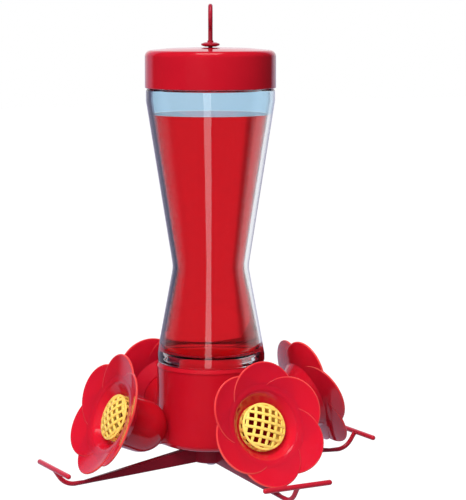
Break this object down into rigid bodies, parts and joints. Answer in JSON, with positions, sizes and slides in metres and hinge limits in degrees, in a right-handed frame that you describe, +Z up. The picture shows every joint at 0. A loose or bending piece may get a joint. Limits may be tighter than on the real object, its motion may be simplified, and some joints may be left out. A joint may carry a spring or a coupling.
{
  "type": "hummingbird feeder",
  "caption": "Hanging nectar feeder: a pinched glass bottle, neck down in a red base with flower ports, mesh guards, T-shaped perches and a wire hanger.",
  "frame": {"origin": "on the bottle's axis, level with the undersides of the four perch bends that the feeder stands on when it is set down", "axes": "+Z up along the bottle's axis; the flowers face -Y (front), +X (right), +Y (back) and -X (left)"},
  "size_m": [0.1788, 0.1788, 0.2387],
  "materials": {
    "red_plastic": "gloss",
    "flower_plastic": "gloss",
    "arm_plastic": "gloss",
    "guard_plastic": "satin",
    "glass": "polished",
    "nectar": "clear liquid",
    "red_wire": "gloss paint",
    "steel": "plain",
    "gasket_rubber": "matte"
  },
  "bodies": {
    "base": {"perch_frame": "arm_plastic", "perch_screw": "steel", "reservoir": "red_plastic", "socket_ring": "red_plastic"},
    "gasket": {"neck_gasket": "gasket_rubber"},
    "bottle": {"bottle": "glass", "nectar": "nectar", "cap": "red_plastic"},
    "hanger": {"hanger_rod": "red_wire", "rod_disc": "red_plastic", "rod_washer": "steel"},
    "front_flower": {"flower_front": "flower_plastic"},
    "front_guard": {"guard_front": "guard_plastic"},
    "right_flower": {"flower_right": "flower_plastic"},
    "right_guard": {"guard_right": "guard_plastic"},
    "back_flower": {"flower_back": "flower_plastic"},
    "back_guard": {"guard_back": "guard_plastic"},
    "left_flower": {"flower_left": "flower_plastic"},
    "left_guard": {"guard_left": "guard_plastic"}
  },
  "joints": [
    {"name": "bottle_turn", "type": "hinge", "parent": "base", "child": "gasket", "pos_m": [0, 0, 0.0415], "axis": [0, 0, 1], "range_deg": [0, 720]},
    {"name": "bottle_rise", "type": "slide", "parent": "gasket", "child": "bottle", "axis": [0, 0, 1], "range_m": [0, 0.008]},
    {"name": "hanger_swivel", "type": "hinge", "parent": "bottle", "child": "hanger", "pos_m": [0, 0, 0.2149], "axis": [0, 0, 1], "continuous": true},
    {"name": "front_flower_pull", "type": "slide", "parent": "base", "child": "front_flower", "axis": [0, -0.9304, 0.3665], "range_m": [0, 0.006]},
    {"name": "front_guard_pull", "type": "slide", "parent": "front_flower", "child": "front_guard", "axis": [0, -0.9304, 0.3665], "range_m": [0, 0.0048]},
    {"name": "right_flower_pull", "type": "slide", "parent": "base", "child": "right_flower", "axis": [0.9304, 0, 0.3665], "range_m": [0, 0.006]},
    {"name": "right_guard_pull", "type": "slide", "parent": "right_flower", "child": "right_guard", "axis": [0.9304, 0, 0.3665], "range_m": [0, 0.0048]},
    {"name": "back_flower_pull", "type": "slide", "parent": "base", "child": "back_flower", "axis": [0, 0.9304, 0.3665], "range_m": [0, 0.006]},
    {"name": "back_guard_pull", "type": "slide", "parent": "back_flower", "child": "back_guard", "axis": [0, 0.9304, 0.3665], "range_m": [0, 0.0048]},
    {"name": "left_flower_pull", "type": "slide", "parent": "base", "child": "left_flower", "axis": [-0.9304, 0, 0.3665], "range_m": [0, 0.006]},
    {"name": "left_guard_pull", "type": "slide", "parent": "left_flower", "child": "left_guard", "axis": [-0.9304, 0, 0.3665], "range_m": [0, 0.0048]}
  ],
  "couplings": [
    {"joint": "bottle_rise", "follows": "bottle_turn", "m_per_rad": 0.00063662}
  ]
}
